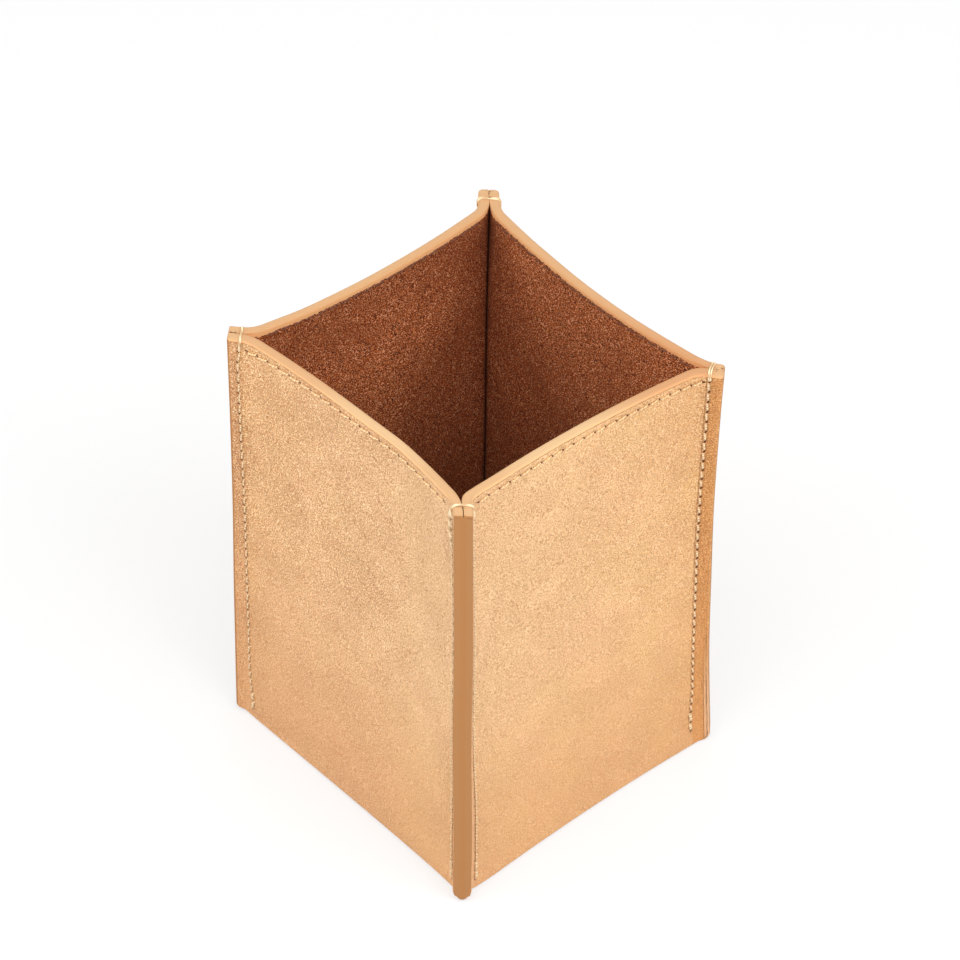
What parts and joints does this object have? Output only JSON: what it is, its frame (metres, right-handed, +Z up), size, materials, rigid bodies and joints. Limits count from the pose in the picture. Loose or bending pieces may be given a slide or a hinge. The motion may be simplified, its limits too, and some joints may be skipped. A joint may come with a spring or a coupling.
{
  "type": "pen cup",
  "caption": "Square open pen cup folded from natural leather, lined with brown suede and sewn back to back at its corners.",
  "frame": {"origin": "middle of the base, on the surface that the cup stands on", "axes": "+Z up out of the mouth, -Y out of the front wall, +X to the right of the front wall"},
  "size_m": [0.0814, 0.0854, 0.1176],
  "materials": {
    "natural_leather": "vegetable-tanned, natural tan, satin, burnished edges",
    "brown_suede": "suede nap, matte brown",
    "grey_board": "uncoated grey board",
    "cream_thread": "twisted sewing thread, waxed",
    "brown_thread": "twisted sewing thread"
  },
  "bodies": {
    "root": {"leather_shell": "natural_leather", "wall_lining_front": "brown_suede", "wall_lining_right": "brown_suede", "wall_lining_back": "brown_suede", "wall_lining_left": "brown_suede", "base_board": "grey_board", "base_lining": "brown_suede", "hem_thread_front": "cream_thread", "hem_thread_right": "cream_thread", "hem_thread_back": "cream_thread", "hem_thread_left": "cream_thread", "hem_bobbin_front": "brown_thread", "hem_bobbin_right": "brown_thread", "hem_bobbin_back": "brown_thread", "hem_bobbin_left": "brown_thread", "seam_thread_front_right": "cream_thread", "seam_thread_back_right": "cream_thread", "seam_thread_back_left": "cream_thread", "seam_thread_front_left": "cream_thread"}
  },
  "joints": []
}
